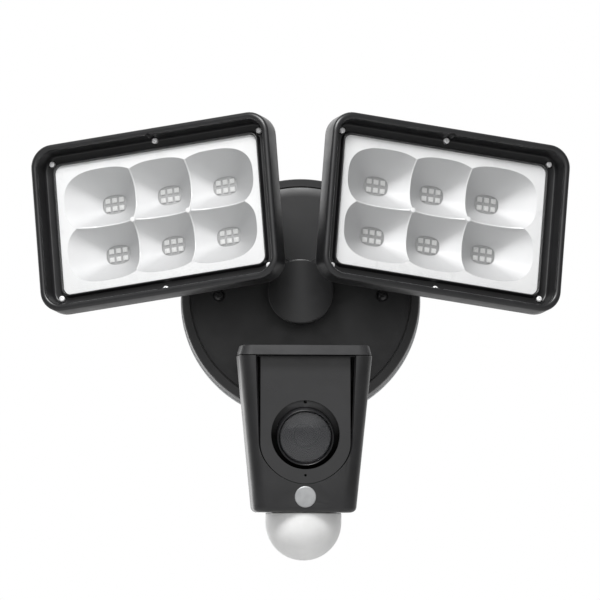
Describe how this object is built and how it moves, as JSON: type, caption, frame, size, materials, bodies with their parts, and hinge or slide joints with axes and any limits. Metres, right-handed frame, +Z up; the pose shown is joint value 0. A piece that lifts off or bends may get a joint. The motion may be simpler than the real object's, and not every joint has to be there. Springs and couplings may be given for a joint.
{
  "type": "floodlight security camera",
  "caption": "Wall-mounted security camera hung under a round wall plate, with a motion dome and a pair of rectangular floodlight heads on swivelling arms.",
  "frame": {"origin": "centre of the wall plate where its gasket meets the wall", "axes": "+Z up, -Y out of the wall towards the front, +X to the right seen from the front"},
  "size_m": [0.2936, 0.1138, 0.2411],
  "materials": {
    "black_plastic": "satin moulded",
    "lamp_paint": "satin powder coat",
    "dark_plastic": "satin",
    "zinc": "zinc plated",
    "gasket_foam": "soft foam",
    "seal_rubber": "matte",
    "button_rubber": "matte",
    "circuit_board": "solder mask",
    "terminal_plastic": "moulded",
    "led_board": "white solder mask",
    "reflector": "satin bright",
    "lamp_glass": "clear",
    "lens_glass": "coated",
    "frosted_dome": "frosted",
    "badge": "satin print",
    "speaker_steel": "stamped",
    "screw_steel": "bright"
  },
  "bodies": {
    "wall_mount": {"wall_crossbar": "zinc", "wall_gasket": "gasket_foam", "canopy": "black_plastic", "arm_hub": "lamp_paint", "hub_cap": "lamp_paint", "camera_bracket": "black_plastic", "driver_board": "circuit_board", "terminal_block": "terminal_plastic", "canopy_screw_left": "dark_plastic", "canopy_screw_right": "dark_plastic", "pan_pin": "screw_steel", "lock_collar_left": "dark_plastic", "lock_collar_right": "dark_plastic"},
    "camera_arm": {"camera_arm": "black_plastic"},
    "camera_head": {"camera_front_shell": "black_plastic", "camera_rear_shell": "black_plastic", "camera_top_cap": "black_plastic", "face_panel": "dark_plastic", "lens_barrel": "dark_plastic", "lens_cover": "lens_glass", "sensor_board": "circuit_board", "main_board": "circuit_board", "speaker": "speaker_steel", "pir_dome": "frosted_dome", "pir_board": "circuit_board", "front_badge": "badge", "tilt_pin": "screw_steel"},
    "reset_button": {"reset_button": "button_rubber"},
    "left_arm": {"lamp_arm_left": "lamp_paint"},
    "left_lamp": {"housing_left": "lamp_paint", "bezel_left": "lamp_paint", "seal_left": "seal_rubber", "lamp_glass_left": "lamp_glass", "reflector_left": "reflector", "led_board_left": "led_board", "knuckle_bolt_left": "screw_steel", "bezel_screw_1_left": "screw_steel", "bezel_screw_2_left": "screw_steel", "bezel_screw_3_left": "screw_steel", "bezel_screw_4_left": "screw_steel", "bezel_screw_5_left": "screw_steel", "bezel_screw_6_left": "screw_steel"},
    "right_arm": {"lamp_arm_right": "lamp_paint"},
    "right_lamp": {"housing_right": "lamp_paint", "bezel_right": "lamp_paint", "seal_right": "seal_rubber", "lamp_glass_right": "lamp_glass", "reflector_right": "reflector", "led_board_right": "led_board", "knuckle_bolt_right": "screw_steel", "bezel_screw_1_right": "screw_steel", "bezel_screw_2_right": "screw_steel", "bezel_screw_3_right": "screw_steel", "bezel_screw_4_right": "screw_steel", "bezel_screw_5_right": "screw_steel", "bezel_screw_6_right": "screw_steel"}
  },
  "joints": [
    {"name": "left_arm_swivel", "type": "hinge", "parent": "wall_mount", "child": "left_arm", "pos_m": [0, -0.035, 0.004], "axis": [-0.8051, 0, 0.5931], "range_deg": [-18, 22]},
    {"name": "left_lamp_pan", "type": "hinge", "parent": "left_arm", "child": "left_lamp", "pos_m": [-0.06124, -0.03943, 0.0315], "axis": [0.0751, -0.1041, -0.9917], "range_deg": [-14, 25]},
    {"name": "right_arm_swivel", "type": "hinge", "parent": "wall_mount", "child": "right_arm", "pos_m": [0, -0.035, 0.004], "axis": [-0.8051, 0, -0.5931], "range_deg": [-18, 22]},
    {"name": "right_lamp_pan", "type": "hinge", "parent": "right_arm", "child": "right_lamp", "pos_m": [0.06124, -0.03943, 0.0315], "axis": [0.0751, 0.1041, 0.9917], "range_deg": [-14, 25]},
    {"name": "camera_pan", "type": "hinge", "parent": "wall_mount", "child": "camera_arm", "pos_m": [0, -0.038, -0.044], "axis": [0, 0, 1], "range_deg": [-35, 30]},
    {"name": "camera_tilt", "type": "hinge", "parent": "camera_arm", "child": "camera_head", "pos_m": [0.00091, -0.05798, -0.06], "axis": [0.999, 0.0454, 0], "range_deg": [-10, 40]},
    {"name": "reset_press", "type": "slide", "parent": "camera_head", "child": "reset_button", "axis": [0.0451, -0.9935, -0.1045], "range_m": [0, 0.001], "stiffness_N_per_m": 400}
  ]
}
